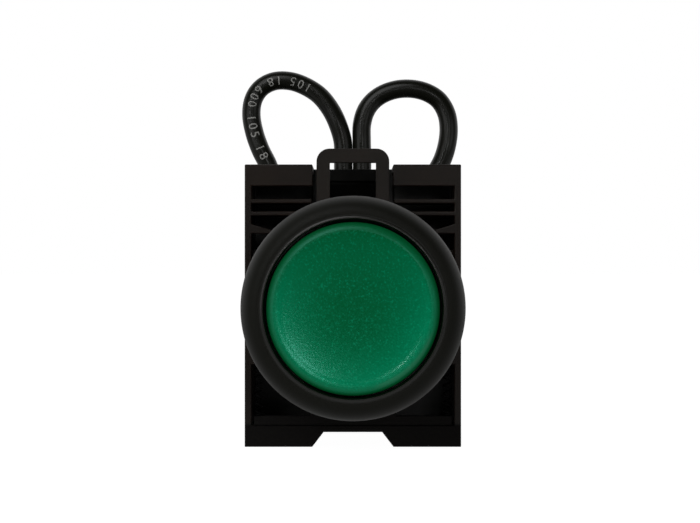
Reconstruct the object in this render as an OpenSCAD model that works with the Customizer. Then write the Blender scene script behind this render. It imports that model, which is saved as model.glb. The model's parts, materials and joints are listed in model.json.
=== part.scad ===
// Illuminated push button with a holder and three clip-on modules, for a hole in a control panel.
// The panel's front is the plane y = 0. The button faces -Y, the release loop points up, +Z.

/* [Panel fit] */
// Outside diameter of the threaded barrel
barrel_d = 22; // [19:0.1:27]
// Room between the gasket and the nut, which the panel fills
panel_room = 3; // [2:0.1:4]
// Thickness of the gasket
gasket_t = 1; // [0.8:0.1:1.5]
// Thickness of the ring nut
nut_t = 5; // [4:0.1:6]
// Width of the ring nut, from the barrel outwards
nut_wall = 2.7; // [2:0.1:3.2]

/* [Head] */
// How far the flange of the barrel reaches past the barrel
flange_reach = 2.4; // [2:0.1:3]
// Wall of the cup that the cap slides in
cup_wall = 1.75; // [1.2:0.05:2]
// Wall of the bezel around the cup
bezel_wall = 1.25; // [1:0.05:2]
// How far the cap stands in front of the bezel
cap_stand = 0.2; // [0:0.1:2]
// Depth of the dish in the cap
dish_depth = 0.7; // [0.2:0.1:1.2]
// Thickness of the cap
cap_t = 1.2; // [0.8:0.1:1.6]
// Wall of the barrel
barrel_wall = 1.7; // [1.3:0.1:2]
// Travel of the button
stroke = 5; // [4:0.1:6]

/* [Holder] */
// How far the holder reaches past the barrel at each side
holder_side = 4; // [3.5:0.1:6]
// Height of the holder
holder_h = 39.2; // [35:0.1:48]
// Wall of the holder
holder_wall = 0.95; // [0.8:0.05:1.2]
// Height of the band along the top and the bottom of the holder
band_h = 3; // [2.4:0.1:3.6]
// Depth of the groove that the latch locks in
groove_depth = 1.6; // [1:0.1:2]
// Thickness of the latch plate
latch_t = 1.8; // [1.2:0.1:2.2]
// Width of the latch loop
loop_w = 10.1; // [8:0.1:12]
// How far the latch loop stands above the holder
loop_rise = 2.2; // [1:0.1:5]

/* [Modules] */
// Depth of a module, from the holder to its back
module_depth = 26; // [24:0.1:32]
// Wall of a module
module_wall = 0.9; // [0.7:0.05:1.1]
// Opening between the contacts of the normally open module
contact_gap = 2.4; // [2:0.1:3]
// Free travel of the plunger before the closed contacts open
take_up = 1; // [0.5:0.1:1.5]
// Diameter of the terminal screws
screw_d = 3; // [2.5:0.1:3.2]

/* [Wires] */
// Diameter of the insulated wire
wire_d = 2.8; // [2.2:0.1:2.8]
// Diameter of the bare conductor
conductor_d = 1.2; // [0.8:0.1:1.3]

/* [Hidden] */
$fn = 64;

// Clearances
slide_gap = 0.1;
cap_gap = 0.4;
rest_gap = 0.1;
touch_gap = 0.02;
stop_gap = 0.4;

// How far the parts of one piece reach into each other
bite = 0.2;

// Radii of the head, from the barrel outwards
barrel_r = barrel_d / 2;
bore_r = barrel_r - barrel_wall;
flange_r = barrel_r + flange_reach;
cup_r = flange_r - cup_wall;
cap_r = cup_r - cap_gap;
bezel_r = flange_r + slide_gap + bezel_wall;
groove_r = barrel_r - groove_depth;
stem_r = bore_r - 2.9;
stem_bore_r = stem_r - 1.7;
rear_bore_r = stem_r + slide_gap;
thread_depth = 0.45;
thread_pitch = 1.5;
thread_crest = 0.3;
thread_flank = 0.4;
crest_in = 1.1;
nib_w = 2.6;
nib_reach = 1.05;
nib_behind = 0.9;

// Places along Y in the head, from the panel forwards
cup_floor_t = 1.4;
carrier_flange_t = 0.6;
carrier_plug_t = 0.7;
diffuser_t = 0.8;
cup_rear_y = -gasket_t;
cup_floor_y = cup_rear_y - cup_floor_t;
carrier_y = cup_floor_y - slide_gap - stroke;
cup_front_y = carrier_y + 0.5;
skirt_y = carrier_y - carrier_flange_t;
plug_y = skirt_y - carrier_plug_t;
diffuser_y = plug_y - diffuser_t;
cap_inner_y = diffuser_y - rest_gap;
dish_y = cap_inner_y - cap_t;
crest_y = dish_y - dish_depth;
bezel_y = crest_y + cap_stand;
crest_r = cap_r - crest_in;
bezel_crest_r = cup_r + 0.9;

// Places along Y behind the panel
nut_y = panel_room;
holder_y = nut_y + nut_t + 2;
latch_y = holder_y + rest_gap;
collar_y = latch_y + latch_t + 0.2;
barrel_end_y = collar_y + 1.9;
ledge_y = holder_y - 4;
ledge_t = 2;
guide_end_y = ledge_y - stop_gap - stroke;
bar_y = barrel_end_y + 0.6;
bar_t = 2;
plunger_y = bar_y + bar_t + rest_gap;
module_y = bar_y + bar_t + stroke + stop_gap;
module_end_y = module_y + module_depth;

// Holder and latch
holder_w = barrel_d + 2 * holder_side;
holder_inner_x = holder_w / 2 - holder_wall;
holder_top = holder_h / 2;
band_z = holder_top - band_h;
loop_leg = 1.85;
loop_bar = 1.95;
loop_slot = 0.55;
loop_top = holder_top + loop_rise;
rib_t = 0.6;
aperture_r = barrel_r + 0.3;
latch_lift = aperture_r - groove_r - slide_gap;
latch_ring_r = aperture_r + 1;
spring_rest_z = -barrel_r + 2.9;
latch_foot_h = 1.2;
latch_foot_z = rest_gap + latch_foot_h - band_z;
latch_neck_w = 12;
latch_spring_x = holder_inner_x - 0.95;

// Modules
module_gap = 0.05;
module_w = (holder_w - 2 * rest_gap - 2 * module_gap) / 3;
module_pitch = module_w + module_gap;
module_h = holder_h - 1.4;
module_lift = 0.5;
cavity_x = module_w / 2 - module_wall;
cavity_z = module_h / 2 - module_wall;
cover_t = 1.6;
cover_recess = 0.6;
cover_rail = 1.7;
housing_y = module_y + cover_t;
back_wall = 1;
partition_t = 0.7;
terminal_z = module_h / 2 - 4.2;
partition_z = terminal_z - 2.9 - partition_t;
screw_hole_r = 3;
post_r = 1;
post_y = module_end_y - back_wall - 3.5;

// Terminals, placed from the plane of the wires
wire_y = 38;
wire_r = wire_d / 2;
conductor_r = conductor_d / 2;
terminal_t = 0.8;
terminal_x = 7.4;
terminal_y = wire_y - conductor_r - rest_gap;
clamp_t = 1;
clamp_y = wire_y + conductor_r + rest_gap;
clamp_open = 3.2;
screw_r = screw_d / 2;
head_r = 2.7;
head_t = 2.4;
port_front_y = wire_y - wire_r - 0.6;
port_rear_y = wire_y + wire_r + 2.2;

// Contact mechanism, along Y from the cover
plunger_x = 3.6;
plunger_z = 5.2;
cage_x = 5.6;
cage_z = 4.4;
window_x = 4;
shoulder_y = housing_y + rest_gap;
shoulder_t = 1.5;
shoulder_x = 6;
shoulder_z = 7.6;
cage_y = shoulder_y + shoulder_t;
bridge_t = 0.6;
bridge_w = 3.4;
bridge_l = 15;
pad_r = 1.2;
pad_t = 0.5;
pad_z = 6.2;
strip_t = 0.6;
strip_end_z = 4.6;
no_bar_y = cage_y + 4.9;
no_bridge_y = no_bar_y - rest_gap - bridge_t;
no_strip_y = no_bridge_y + bridge_t + 2 * pad_t + contact_gap;
nc_bar_y = cage_y + 9.8;
nc_strip_y = cage_y + 3.2;
nc_bridge_y = nc_strip_y + strip_t + 2 * pad_t + touch_gap;
cage_bar_t = 1.2;

// Lamp
nose_r = min(stem_bore_r, module_w / 2) - 0.7;
nose_bore_r = nose_r - 0.9;
nose_y = module_y - 21;
led_y = nose_y - 2;
board_y = housing_y + 1.5;
board_t = 1.2;
board_l = 12;
board_z = partition_z - 1.5;

// Routes of the two jumper wires, as [x, y, z]
left_route = [
    [-12.2, 38, 17.8], [-12.2, 38, 18.9], [-12.8, 38, 20.8], [-13.9, 38, 23], [-14.8, 38.2, 25.5],
    [-15.3, 38.4, 28.2], [-15, 38.6, 30.6], [-13.8, 38.6, 32.4], [-11.8, 38.6, 33.4],
    [-9.4, 38.6, 33.4], [-7.1, 38.6, 32.6], [-5, 38.4, 31.2], [-3.4, 38.2, 29.2], [-2.3, 38, 27],
    [-1.52, 38, 24.4], [-1.42, 38, 22], [-1.42, 38, 20.5], [-1.45, 38, 19.5], [-1.9, 38, 18.5],
    [-1.9, 38, 17.8]
];
right_route = [
    [1.9, 38, 17.8], [1.9, 38, 18.5], [1.45, 38, 19.5], [1.42, 38, 20.5], [1.42, 38, 22],
    [1.36, 38, 24.4],
    [1.4, 38.2, 26.8], [2, 38.4, 28.9], [3.2, 38.6, 30.5], [4.9, 38.6, 31.6], [7, 38.6, 32.2],
    [9.3, 38.6, 32.2], [11.4, 38.6, 31.6], [13.1, 38.6, 30.4], [14.2, 38.4, 28.4],
    [14.5, 38.2, 26], [14.2, 38, 23.6], [13.5, 38, 21.4], [12.2, 38, 18.9], [12.2, 38, 17.8]
];
wire_sides = 8;

// Places of the bare ends along X, beside the shanks of the screws
outer_end_x = 12.2;
inner_end_x = 2.2;

// Tools for the shapes below

// Cylinder along +Y between two places
module rod(radius, y0, y1) {
    translate([0, y0, 0])
        rotate([-90, 0, 0])
            cylinder(r = radius, h = y1 - y0);
}

// Ring around the button's axis between two places along Y
module tube(outer, inner, y0, y1) {
    difference() {
        rod(outer, y0, y1);
        rod(inner, y0 - 1, y1 + 1);
    }
}

// Plate with its outline in X and Z, from y0 to y1
module plate(y0, y1) {
    translate([0, y1, 0])
        rotate([90, 0, 0])
            linear_extrude(y1 - y0)
                children();
}

// Solid turned around the button's axis, with its outline as [radius, y]
module turned(outline) {
    rotate([-90, 0, 0])
        rotate_extrude()
            polygon(outline);
}

// Box centred on X and Z, from y0 to y1
module block(size_x, size_z, y0, y1) {
    translate([-size_x / 2, y0, -size_z / 2])
        cube([size_x, y1 - y0, size_z]);
}

function unit(v) = v / norm(v);

function heading(points, i) =
    unit(points[min(i + 1, len(points) - 1)] - points[max(i - 1, 0)]);

function end_heading(points, i) =
    i == 0 ? unit(points[1] - points[0])
    : i == len(points) - 1 ? unit(points[i] - points[i - 1])
    : heading(points, i);

// Faces of a tube of rings, closed at both ends
function tube_faces(rings, sides) = concat(
    [[for (k = [0 : sides - 1]) sides - 1 - k]],
    [
        for (i = [0 : rings - 2], k = [0 : sides - 1])
            let (n = (k + 1) % sides)
            each [
                [i * sides + k, i * sides + n, (i + 1) * sides + n],
                [i * sides + k, (i + 1) * sides + n, (i + 1) * sides + k]
            ]
    ],
    [[for (k = [0 : sides - 1]) (rings - 1) * sides + k]]
);

// Tube swept along points, whose rings keep one edge towards side
module swept(points, radius, sides, side) {
    rings = [
        for (i = [0 : len(points) - 1])
            let (ahead = end_heading(points, i))
            let (right = unit(cross(side, ahead)))
            let (up = cross(ahead, right))
            for (k = [0 : sides - 1])
                let (a = 360 * k / sides)
                points[i] + radius * (cos(a) * right + sin(a) * up)
    ];
    polyhedron(points = rings, faces = tube_faces(len(points), sides), convexity = 10);
}

// Coil spring along Z from 0 to its length
module coil(coil_r, strand_r, length, turns) {
    per_turn = 10;
    steps = turns * per_turn;
    rise = length - 2 * strand_r;
    helix = [
        for (i = [0 : steps])
            let (a = 360 * i / per_turn)
            [coil_r * cos(a), coil_r * sin(a), strand_r + rise * i / steps]
    ];
    swept(helix, strand_r * 0.97, 6, [0, 0, 1]);
}

// Coil spring along +Y between two places
module coil_y(coil_r, strand_r, y0, y1, turns) {
    translate([0, y0 + touch_gap, 0])
        rotate([-90, 0, 0])
            coil(coil_r, strand_r, y1 - y0 - 2 * touch_gap, turns);
}

// Puts its children at the place of a module, -1 left, 0 middle, 1 right
module at_module(side) {
    translate([side * module_pitch, 0, module_lift])
        children();
}

// Puts its children at the upper and the lower terminal
module at_both_ends() {
    children();
    mirror([0, 0, 1])
        children();
}

// Head

module bezel() {
    curve_depth = 4;
    lip_w = 0.75;
    lip_depth = 1.2;
    edge = 0.3;
    curve = [
        for (a = [0 : 10 : 90])
            [
                bezel_crest_r + (bezel_r - bezel_crest_r) * cos(a),
                bezel_y + curve_depth * (1 - sin(a))
            ]
    ];
    rear = [
        [flange_r + slide_gap, cup_front_y],
        [flange_r + slide_gap, -edge],
        [bezel_r - edge, -edge],
        [bezel_r, -2 * edge]
    ];
    lip = [[cup_r + lip_w, bezel_y + 0.1], [cup_r, bezel_y + lip_depth], [cup_r, cup_front_y]];
    color("#1c1c1b")
        turned(concat(rear, curve, lip));
}

module gasket() {
    color("#2a2a2a")
        difference() {
            tube(flange_r, barrel_r + slide_gap, -gasket_t, 0);
            nib(0.2, 0.4);
        }
}

// Locating nib on the barrel, or the slot for it when it is widened
module nib(wider, taller) {
    root = 1;
    translate([-nib_w / 2 - wider, -gasket_t - taller, barrel_r - root])
        cube([nib_w + 2 * wider, gasket_t + nib_behind + 2 * taller, root + nib_reach + wider]);
}

module barrel() {
    thread_start = nut_y - 0.2;
    turns = floor((holder_y - thread_start) / thread_pitch);
    root_r = barrel_r - thread_depth;
    chamfer = 0.4;
    thread = [
        for (i = [0 : turns - 1])
            let (y = thread_start + i * thread_pitch)
            each [
                [barrel_r, y],
                [barrel_r, y + thread_crest],
                [root_r, y + thread_crest + thread_flank],
                [root_r, y + thread_pitch - thread_flank]
            ]
    ];
    outside = concat(
        [[flange_r, cup_front_y], [flange_r, cup_rear_y], [barrel_r, cup_rear_y]],
        thread,
        [
            [barrel_r, thread_start + turns * thread_pitch],
            [barrel_r, holder_y],
            [groove_r, holder_y],
            [groove_r, latch_y + latch_t + rest_gap],
            [barrel_r, latch_y + latch_t + rest_gap],
            [barrel_r, barrel_end_y - chamfer],
            [barrel_r - chamfer, barrel_end_y]
        ]
    );
    inside = [
        [rear_bore_r + chamfer, barrel_end_y],
        [rear_bore_r, barrel_end_y - chamfer],
        [rear_bore_r, ledge_y],
        [bore_r, ledge_y],
        [bore_r, cup_floor_y],
        [cup_r, cup_floor_y],
        [cup_r, cup_front_y]
    ];
    color("#232322")
        union() {
            turned(concat(outside, inside));
            nib(0, 0);
        }
}

module ring_nut() {
    notches = 12;
    notch_w = 2.6;
    notch_depth = 1;
    notch_front = 1.2;
    nut_r = barrel_r + nut_wall;
    color("#2b2b2a")
        difference() {
            tube(nut_r, barrel_r + 0.05, nut_y, nut_y + nut_t);
            for (i = [0 : notches - 1])
                rotate([0, 360 / notches * i, 0])
                    translate([nut_r - notch_depth, nut_y + notch_front, -notch_w / 2])
                        cube([notch_depth + 1, nut_t, notch_w]);
        }
}

module lens_cap() {
    inner_r = cap_r - cap_t;
    roll_depth = 1.2;
    dish = [
        for (i = [0 : 8])
            let (r = crest_r * i / 8)
            [r, dish_y - dish_depth * pow(i / 8, 2)]
    ];
    roll = [
        for (a = [75 : -15 : 0])
            [crest_r + crest_in * cos(a), crest_y + roll_depth * (1 - sin(a))]
    ];
    rim = [
        [cap_r, skirt_y],
        [inner_r, skirt_y],
        [inner_r, cap_inner_y],
        [0, cap_inner_y]
    ];
    color("#00875f")
        turned(concat(dish, roll, rim));
}

module diffuser() {
    color("#e9ece8")
        rod(cap_r - cap_t - slide_gap, diffuser_y, plug_y);
}

module cap_carrier() {
    plug_r = cap_r - cap_t - slide_gap;
    guide_r = bore_r - slide_gap;
    guide_wall = 1.1;
    guide_bore_r = guide_r - guide_wall;
    outline = [
        [stem_bore_r, plug_y],
        [plug_r, plug_y],
        [plug_r, skirt_y],
        [cap_r - slide_gap, skirt_y],
        [cap_r - slide_gap, carrier_y],
        [guide_r, carrier_y],
        [guide_r, guide_end_y],
        [guide_bore_r, guide_end_y],
        [guide_bore_r, carrier_y],
        [stem_r, carrier_y],
        [stem_r, bar_y],
        [stem_bore_r, bar_y]
    ];
    color("#3a3a38")
        turned(outline);
}

module pusher_bar() {
    past_plunger = 0.6;
    bar_w = 6.4;
    reach = module_pitch + plunger_x / 2 + past_plunger;
    color("#3a3a38")
        difference() {
            union() {
                block(2 * reach, bar_w, bar_y, bar_y + bar_t);
                rod(stem_r, bar_y, bar_y + bar_t);
            }
            rod(stem_bore_r - 0.2, bar_y - 1, bar_y + bar_t + 1);
        }
}

module button_spring() {
    past_stem = 0.85;
    strand_r = 0.35;
    color("silver")
        coil_y(stem_r + past_stem, strand_r, carrier_y, ledge_y, 5);
}

// Holder

module holder() {
    color("#2d2623")
        difference() {
            union() {
                holder_shell();
                holder_collar();
                at_both_sides()
                    holder_webs();
            }
            holder_notch();
        }
}

// Puts its children at the right and, mirrored, at the left
module at_both_sides() {
    children();
    mirror([1, 0, 0])
        children();
}

// Walls and the front bands, open at the front and the back
module holder_shell() {
    slot_x = loop_w / 2 + loop_slot;
    difference() {
        block(holder_w, holder_h, holder_y, module_y);
        block(2 * holder_inner_x, holder_h - 2, holder_y + 2, module_y + 1);
        block(2 * holder_inner_x, 2 * band_z, holder_y - 1, module_y);
        translate([-slot_x, holder_y - 1, 0])
            cube([2 * slot_x, module_y - holder_y + 2, holder_top + 1]);
    }
}

// Ring behind the latch that centres the barrel, tied to the walls
module holder_collar() {
    collar_wall = 1.6;
    collar_gap = 0.15;
    tie_l = holder_inner_x - barrel_r + 0.4;
    tie_h = 3;
    tie_z = barrel_r / 2 - 0.7;
    foot_w = 6;
    collar_t = barrel_end_y - collar_y;
    difference() {
        union() {
            rod(barrel_r + collar_wall, collar_y, barrel_end_y);
            at_both_sides()
                at_both_ends()
                    translate([holder_inner_x + bite - tie_l, collar_y, tie_z])
                        cube([tie_l, collar_t, tie_h]);
            translate([-foot_w / 2, collar_y, -holder_top + 0.5])
                cube([foot_w, collar_t, holder_top - barrel_r - 0.8]);
        }
        rod(barrel_r + collar_gap, collar_y - 1, barrel_end_y + 1);
    }
}

// Two ribs, the slanting web and the rest of the latch spring, at the right
module holder_webs() {
    rib_drops = [2.4, 4.1];
    rib_x = loop_w / 2 + loop_slot + 0.15;
    web_z = band_z - 6.6;
    web_l = 4.4;
    web_rise = 1.4;
    rest_x = 0.7;
    rest_h = 1.4;
    outer_x = holder_inner_x + bite;
    plate(holder_y, module_y - 2)
        for (drop = rib_drops)
            translate([rib_x, band_z - drop])
                square([outer_x - rib_x, rib_t]);
    plate(holder_y, barrel_end_y)
        polygon([[outer_x, web_z], [outer_x, web_z + web_rise], [holder_inner_x - web_l, web_z]]);
    translate([latch_spring_x - rest_x, holder_y, spring_rest_z])
        cube([outer_x - latch_spring_x + rest_x, barrel_end_y - holder_y, rest_h]);
}

// Notch through the bottom of the holder
module holder_notch() {
    notch_h = 2.3;
    top_x = 3.9;
    below = 1.35;
    below_x = 6.7;
    plate(holder_y - 1, module_y + 1)
        polygon([
            [-below_x, -holder_top - below],
            [-top_x, -holder_top + notch_h],
            [top_x, -holder_top + notch_h],
            [below_x, -holder_top - below]
        ]);
}

module latch() {
    foot_x = latch_spring_x + 0.6;
    color("#2d2623")
        plate(latch_y, latch_y + latch_t)
            difference() {
                union() {
                    translate([0, -latch_lift])
                        circle(r = latch_ring_r);
                    translate([-foot_x, latch_foot_z - latch_foot_h])
                        square([2 * foot_x, latch_foot_h]);
                    translate([-latch_neck_w / 2, latch_foot_z - bite])
                        square([latch_neck_w, -latch_foot_z - barrel_r]);
                    loop_outline();
                }
                translate([0, -latch_lift])
                    circle(r = aperture_r);
                loop_hole();
            }
}

// Outline of the loop, with round corners at the top
module loop_outline() {
    corner_r = 1.8;
    root_z = barrel_r - 3;
    half = loop_w / 2;
    translate([-half, root_z])
        square([loop_w, loop_top - corner_r - root_z]);
    translate([-half + corner_r, loop_top - corner_r - 1])
        square([loop_w - 2 * corner_r, corner_r + 1]);
    for (x = [-half + corner_r, half - corner_r])
        translate([x, loop_top - corner_r])
            circle(r = corner_r);
}

// Hole in the loop, for a fingertip or a screwdriver
module loop_hole() {
    half = loop_w / 2 - loop_leg;
    bottom = barrel_r + 1.3;
    translate([-half, bottom])
        square([2 * half, loop_top - loop_bar - bottom]);
}

module latch_springs() {
    color("silver")
        for (x = [-latch_spring_x, latch_spring_x])
            translate([x, latch_y + latch_t / 2, latch_foot_z + touch_gap])
                coil(0.5, 0.15, spring_rest_z - latch_foot_z - 2 * touch_gap, 6);
}

// Modules

// Housing of a module, with its screw holes and the ports for the wires
module housing(strip_y) {
    back_y = module_end_y - back_wall;
    difference() {
        block(module_w, module_h, housing_y, module_end_y);
        block(2 * cavity_x, 2 * partition_z, housing_y - 1, back_y);
        at_both_ends() {
            translate([-cavity_x, housing_y - 1, partition_z + partition_t])
                cube([2 * cavity_x, back_y - housing_y + 1, cavity_z - partition_z - partition_t]);
            translate([-cavity_x, port_front_y, cavity_z - 1])
                cube([2 * cavity_x, port_rear_y - port_front_y, module_wall + 2]);
            translate([0, 0, terminal_z])
                rod(screw_hole_r, back_y - 1, module_end_y + 1);
            translate([-bridge_w / 2 - slide_gap, strip_y - slide_gap, partition_z - 1])
                cube([bridge_w + 2 * slide_gap, strip_t + 2 * slide_gap, partition_t + 2]);
        }
    }
}

// Front of a module, with the rails at its ends and the lower hook that holds it in the holder
module cover() {
    side_rail = 0.8;
    difference() {
        block(module_w, module_h, module_y, housing_y);
        block(
            module_w - 2 * side_rail,
            module_h - 2 * cover_rail,
            module_y - 1,
            module_y + cover_recess
        );
    }
    mirror([0, 0, 1])
        cover_hook();
}

// Upper hook of a module, or the lower one when it is mirrored
module cover_hook() {
    hook_w = 3;
    hook_h = 1;
    hook_l = 1.8;
    hook_in = 0.9;
    translate([-hook_w / 2, module_y - hook_l, module_h / 2 - hook_in - hook_h])
        cube([hook_w, hook_l + cover_recess, hook_h]);
}

module contact_housing(strip_y) {
    color("#232324") {
        housing(strip_y);
        rod(post_r, post_y, module_end_y - back_wall + 0.1);
    }
}

module contact_cover() {
    color("#232324")
        difference() {
            union() {
                cover();
                cover_hook();
            }
            block(plunger_x + 2 * slide_gap, plunger_z + 2 * slide_gap, module_y - 1, housing_y + 1);
        }
}

// Plunger with a window for the bridge, from window_y to bar_y
module plunger(window_y, rear_bar_y) {
    color("#d8d4c8")
        difference() {
            union() {
                block(plunger_x, plunger_z, plunger_y, shoulder_y + 0.1);
                block(shoulder_x, shoulder_z, shoulder_y, cage_y);
                block(cage_x, cage_z, cage_y - 0.1, rear_bar_y + cage_bar_t);
            }
            block(window_x, cage_z + 2, window_y, rear_bar_y);
        }
}

module bridge(y) {
    color("#b58a4a")
        block(bridge_w, bridge_l, y, y + bridge_t);
}

// Two silver contact pads, side by side along Z
module pads(y) {
    color("#cfd2d3")
        at_both_ends()
            translate([0, 0, pad_z])
                rod(pad_r, y, y + pad_t);
}

// Two terminal strips, from the contacts to the screws
module terminals(strip_y, strip_end) {
    leg_z = partition_z + partition_t + 0.1;
    tab_in = 0.9;
    color("#b58a4a")
        at_both_ends()
            difference() {
                union() {
                    translate([-bridge_w / 2, strip_y, strip_end])
                        cube([bridge_w, strip_t, leg_z + strip_t - strip_end]);
                    translate([-bridge_w / 2, strip_y, leg_z])
                        cube([bridge_w, terminal_y - strip_y, strip_t]);
                    translate([-terminal_x / 2, terminal_y - terminal_t, leg_z])
                        cube([terminal_x, terminal_t, cavity_z - tab_in - leg_z]);
                }
                translate([0, 0, terminal_z])
                    rod(screw_r + 0.05, terminal_y - 2, terminal_y + 1);
            }
}

// Terminal screws: the upper one holds a wire and the lower one is backed out
module screws() {
    color("#b9bcbd") {
        translate([0, clamp_y, terminal_z])
            screw();
        translate([0, clamp_y + clamp_open, -terminal_z])
            screw();
    }
}

module screw() {
    shank_l = 3.6;
    slot_w = 0.8;
    slot_depth = 1;
    head_y = clamp_t + slide_gap;
    top_y = head_y + head_t;
    difference() {
        union() {
            rod(screw_r, -shank_l, head_y + 0.1);
            rod(head_r, head_y, top_y);
        }
        block(slot_w, 2 * head_r + 1, top_y - slot_depth, top_y + 1);
        block(2 * head_r - 1.2, slot_w, top_y - slot_depth, top_y + 1);
    }
}

// Clamp plates under the screw heads
module clamps() {
    color("#c9c39b") {
        translate([0, clamp_y, terminal_z])
            clamp_plate();
        translate([0, clamp_y + clamp_open, -terminal_z])
            clamp_plate();
    }
}

module clamp_plate() {
    clamp_w = 7;
    clamp_h = 5.2;
    difference() {
        block(clamp_w, clamp_h, 0, clamp_t);
        rod(screw_r + slide_gap, -1, clamp_t + 1);
    }
}

// Spring of the bridge, inside the plunger's window
module bridge_spring(y0, y1) {
    color("silver")
        coil_y(1.3, 0.15, y0, y1, 3);
}

// Spring that returns the plunger
module plunger_spring(y0) {
    color("silver")
        coil_y(1.6, 0.2, y0, module_end_y - back_wall, 6);
}

// Normally open module, at the left

module no_housing() {
    at_module(-1)
        contact_housing(no_strip_y);
}

module no_cover() {
    at_module(-1)
        contact_cover();
}

module no_plunger() {
    at_module(-1)
        plunger(cage_y, no_bar_y);
}

module no_bridge() {
    at_module(-1)
        bridge(no_bridge_y);
}

module no_bridge_contacts() {
    at_module(-1)
        pads(no_bridge_y + bridge_t);
}

module no_bridge_spring() {
    at_module(-1)
        bridge_spring(cage_y, no_bridge_y);
}

module no_plunger_spring() {
    at_module(-1)
        plunger_spring(no_bar_y + cage_bar_t);
}

module no_terminals() {
    at_module(-1)
        terminals(no_strip_y, strip_end_z);
}

module no_fixed_contacts() {
    at_module(-1)
        pads(no_strip_y - pad_t);
}

module no_screws() {
    at_module(-1)
        screws();
}

module no_clamps() {
    at_module(-1)
        clamps();
}

// Lamp module, in the middle

module lamp_housing() {
    color("#232324")
        at_module(0)
            housing(no_strip_y);
}

module lamp_cover() {
    color("#232324")
        difference() {
            union() {
                at_module(0)
                    cover();
                rod(nose_r, nose_y, module_y + 1);
            }
            rod(nose_bore_r, nose_y - 1, housing_y + 1);
        }
}

module lamp_led() {
    led_r = 2.5;
    lead_r = 0.3;
    lead_z = 1.27;
    rim_y = nose_y + 2;
    rim_t = 1;
    dome = [for (a = [90 : -15 : 0]) [led_r * cos(a), led_y + led_r - led_r * sin(a)]];
    body = [
        [led_r, rim_y],
        [nose_bore_r - slide_gap, rim_y],
        [nose_bore_r - slide_gap, rim_y + rim_t],
        [0, rim_y + rim_t]
    ];
    color("#eef3e6")
        turned(concat(dome, body));
    color("silver")
        for (z = [-lead_z, lead_z])
            translate([0, 0, z])
                rod(lead_r, rim_y + rim_t - 0.1, board_y);
}

module lamp_board() {
    color("#1f6b3a")
        at_module(0)
            block(board_t, 2 * board_z, board_y, board_y + board_l);
}

module lamp_rectifier() {
    color("#1b1b1d")
        at_module(0)
            translate([board_t / 2, board_y + 2, 2.4])
                cube([2.4, 4.4, 4.8]);
}

module lamp_resistor() {
    resistor_r = 1.2;
    resistor_l = 6.6;
    lead_r = 0.3;
    lead_l = 0.6;
    color("#cbb48a")
        at_module(0)
            translate([board_t / 2 + resistor_r + 0.1, board_y + 5, -8.4]) {
                cylinder(r = resistor_r, h = resistor_l);
                translate([0, 0, -lead_l])
                    cylinder(r = lead_r, h = resistor_l + 2 * lead_l);
            }
}

module lamp_capacitor() {
    capacitor_t = 3;
    capacitor_h = 8;
    color("#8d3a1d")
        at_module(0)
            translate([-board_t / 2 - capacitor_t, board_y + 3.5, -capacitor_h / 2])
                cube([capacitor_t, 6, capacitor_h]);
}

module lamp_terminals() {
    at_module(0)
        terminals(no_strip_y, board_z + rest_gap);
}

module lamp_screws() {
    at_module(0)
        screws();
}

module lamp_clamps() {
    at_module(0)
        clamps();
}

// Normally closed module, at the right

module nc_housing() {
    at_module(1)
        contact_housing(nc_strip_y);
}

module nc_cover() {
    at_module(1)
        contact_cover();
}

module nc_plunger() {
    at_module(1)
        plunger(nc_bridge_y - take_up, nc_bar_y);
}

module nc_bridge() {
    at_module(1)
        bridge(nc_bridge_y);
}

module nc_bridge_contacts() {
    at_module(1)
        pads(nc_bridge_y - pad_t);
}

module nc_bridge_spring() {
    at_module(1)
        bridge_spring(nc_bridge_y + bridge_t, nc_bar_y);
}

module nc_plunger_spring() {
    at_module(1)
        plunger_spring(nc_bar_y + cage_bar_t);
}

module nc_terminals() {
    at_module(1)
        terminals(nc_strip_y, strip_end_z);
}

module nc_fixed_contacts() {
    at_module(1)
        pads(nc_strip_y + strip_t);
}

module nc_screws() {
    at_module(1)
        screws();
}

module nc_clamps() {
    at_module(1)
        clamps();
}

// Jumper wires between the upper terminals

module insulation(route) {
    color("#1a1a1a")
        swept(route, wire_r, wire_sides, [0, 1, 0]);
}

// Bare ends of a jumper, at these places along X
module bare_ends(places) {
    past_screw = 1.8;
    tip_z = terminal_z + module_lift - past_screw;
    color("#b87333")
        for (x = places)
            translate([x, wire_y, tip_z])
                cylinder(r = conductor_r, h = left_route[0][2] - tip_z);
}

module jumper_left() {
    insulation(left_route);
}

module jumper_left_ends() {
    bare_ends([-outer_end_x, -inner_end_x]);
}

module jumper_right() {
    insulation(right_route);
}

module jumper_right_ends() {
    bare_ends([inner_end_x, outer_end_x]);
}

bezel();
gasket();
barrel();
ring_nut();
lens_cap();
diffuser();
cap_carrier();
pusher_bar();
button_spring();
holder();
latch();
latch_springs();
no_housing();
no_cover();
no_plunger();
no_bridge();
no_bridge_contacts();
no_bridge_spring();
no_plunger_spring();
no_terminals();
no_fixed_contacts();
no_screws();
no_clamps();
lamp_housing();
lamp_cover();
lamp_led();
lamp_board();
lamp_rectifier();
lamp_resistor();
lamp_capacitor();
lamp_terminals();
lamp_screws();
lamp_clamps();
nc_housing();
nc_cover();
nc_plunger();
nc_bridge();
nc_bridge_contacts();
nc_bridge_spring();
nc_plunger_spring();
nc_terminals();
nc_fixed_contacts();
nc_screws();
nc_clamps();
jumper_left();
jumper_left_ends();
jumper_right();
jumper_right_ends();
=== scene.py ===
"""Looks of an illuminated push button: its finishes, its finer pieces, the studio and the camera.

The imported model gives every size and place. Round and sprung pieces are rebuilt with fine surfaces,
moulded pieces get soft edges, and everything is dressed with a finish of its own.
"""
import json
import logging
import math
from contextlib import contextmanager
from dataclasses import dataclass, field
from enum import Enum
from typing import Callable, Iterable, Iterator, Sequence

import bmesh
import bpy
from mathutils import Matrix, Vector


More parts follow.
